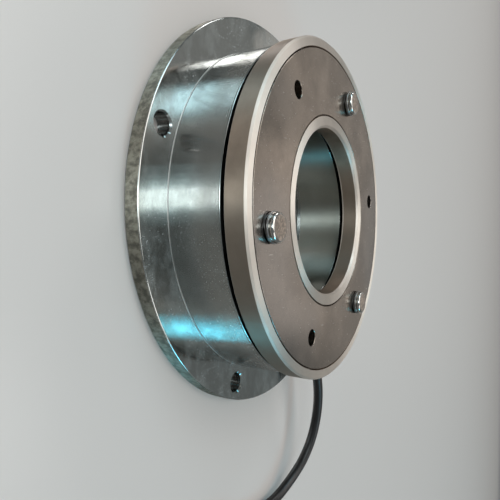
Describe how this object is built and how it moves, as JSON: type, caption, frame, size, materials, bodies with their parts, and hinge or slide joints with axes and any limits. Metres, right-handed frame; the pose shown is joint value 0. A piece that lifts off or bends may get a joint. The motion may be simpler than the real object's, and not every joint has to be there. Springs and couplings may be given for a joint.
{
  "type": "electromagnetic brake",
  "caption": "Flange-mounted electromagnetic brake: ring coil in a steel magnet body pulls a spring-returned armature, carried on pins in a drive plate, onto a friction ring.",
  "frame": {"origin": "centre of the flange's back face, on the brake's axis", "axes": "+Z along the brake's axis from the flange's back towards the armature; the cable leaves the drum 24 degrees from +X towards +Y"},
  "size_m": [0.3212, 0.19, 0.0462],
  "materials": {
    "turned_steel": "bright turned",
    "armature_steel": "ground",
    "plate_steel": "satin rolled",
    "pin_steel": "satin",
    "washer_steel": "satin",
    "spring_steel": "satin",
    "bush_bronze": "satin",
    "friction_material": "matt",
    "bobbin_plastic": "matt",
    "copper_wire": "enamelled",
    "wrap_tape": "matt",
    "casting_resin": "gloss",
    "cable_sheath": "semi gloss",
    "grommet_rubber": "matt",
    "core_red": "semi gloss",
    "core_blue": "semi gloss",
    "sleeve_plastic": "matt",
    "tinned_copper": "bright",
    "tie_nylon": "semi gloss"
  },
  "bodies": {
    "magnet": {"magnet_body": "turned_steel", "coil_bobbin": "bobbin_plastic", "coil_winding": "copper_wire", "coil_wrap": "wrap_tape", "resin_ring": "casting_resin", "friction_lining": "friction_material", "cable_grommet": "grommet_rubber", "cable_sheath_end": "cable_sheath", "cable_core_a": "core_red", "cable_core_b": "core_blue", "splice_sleeve_a": "sleeve_plastic", "splice_sleeve_b": "sleeve_plastic", "coil_lead_a": "copper_wire", "coil_lead_b": "copper_wire", "cable": "cable_sheath", "cable_coil": "cable_sheath", "cable_tie": "tie_nylon", "cable_tail": "cable_sheath", "stripped_core_a": "core_red", "stripped_core_b": "core_blue", "wire_ferrule_a": "tinned_copper", "wire_ferrule_b": "tinned_copper"},
    "drive_plate": {"drive_plate": "plate_steel", "guide_bush_1": "bush_bronze", "spring_washer_1": "spring_steel", "guide_bush_2": "bush_bronze", "spring_washer_2": "spring_steel", "guide_bush_3": "bush_bronze", "spring_washer_3": "spring_steel"},
    "armature": {"armature": "armature_steel", "drive_pin_1": "pin_steel", "flat_washer_1": "washer_steel", "drive_pin_2": "pin_steel", "flat_washer_2": "washer_steel", "drive_pin_3": "pin_steel", "flat_washer_3": "washer_steel"}
  },
  "joints": [
    {"name": "drive_plate_spin", "type": "hinge", "parent": "magnet", "child": "drive_plate", "pos_m": [0, 0, 0.0403], "axis": [0, 0, 1], "continuous": true},
    {"name": "armature_travel", "type": "slide", "parent": "drive_plate", "child": "armature", "axis": [0, 0, -1], "range_m": [0, 0.00048], "stiffness_N_per_m": 20000, "springref_m": -0.001, "deforming": ["spring_washer_1", "spring_washer_2", "spring_washer_3"]}
  ]
}
